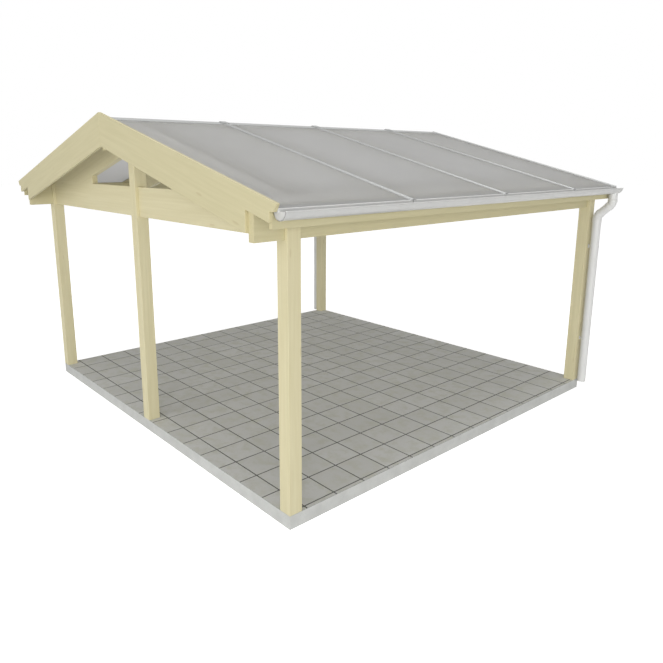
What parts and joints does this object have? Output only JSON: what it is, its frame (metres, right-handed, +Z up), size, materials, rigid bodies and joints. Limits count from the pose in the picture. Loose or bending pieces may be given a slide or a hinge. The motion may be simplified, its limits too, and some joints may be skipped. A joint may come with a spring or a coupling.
{
  "type": "sunroom frame",
  "caption": "Open gable-roofed timber sunroom frame on a square slab: square posts, deep beams, multiwall roof sheets on a shallow slope, half-round gutters and downpipes; the back is open.",
  "frame": {"origin": "on the ground, under the middle of the overall box", "axes": "+X to the right across the front gable, -Y out of the front gable, +Y towards the house at the open back, +Z up"},
  "size_m": [5.076, 4.659, 3.025],
  "materials": {
    "timber": "planed pine with a pale stain, satin",
    "concrete": "pale cast concrete with grey square tiles on top",
    "roof_sheet": "opal multiwall polycarbonate, satin",
    "profile": "mill-finish aluminium, satin",
    "gutter": "light grey uPVC, satin"
  },
  "bodies": {
    "root": {"floor_slab": "concrete", "post_front_left": "timber", "post_front_right": "timber", "post_front_middle": "timber", "post_back_left": "timber", "post_back_right": "timber", "side_beam_left": "timber", "side_beam_right": "timber", "tie_beam_front": "timber", "tie_beam_back": "timber", "king_strut": "timber", "ridge_beam": "timber", "gable_rafter_front_left": "timber", "gable_rafter_front_right": "timber", "gable_rafter_back_left": "timber", "gable_rafter_back_right": "timber", "rafter_left_1": "timber", "rafter_left_2": "timber", "rafter_left_3": "timber", "rafter_right_1": "timber", "rafter_right_2": "timber", "rafter_right_3": "timber", "barge_board_left": "timber", "barge_board_right": "timber", "fascia_left": "timber", "fascia_right": "timber", "roof_sheet_left_1": "roof_sheet", "roof_sheet_left_2": "roof_sheet", "roof_sheet_left_3": "roof_sheet", "roof_sheet_left_4": "roof_sheet", "roof_sheet_right_1": "roof_sheet", "roof_sheet_right_2": "roof_sheet", "roof_sheet_right_3": "roof_sheet", "roof_sheet_right_4": "roof_sheet", "glazing_bar_1": "profile", "glazing_bar_2": "profile", "glazing_bar_3": "profile", "edge_bar_back": "profile", "ridge_cap": "profile", "gutter_left": "gutter", "gutter_right": "gutter", "downpipe_left": "gutter", "downpipe_right": "gutter"}
  },
  "joints": []
}
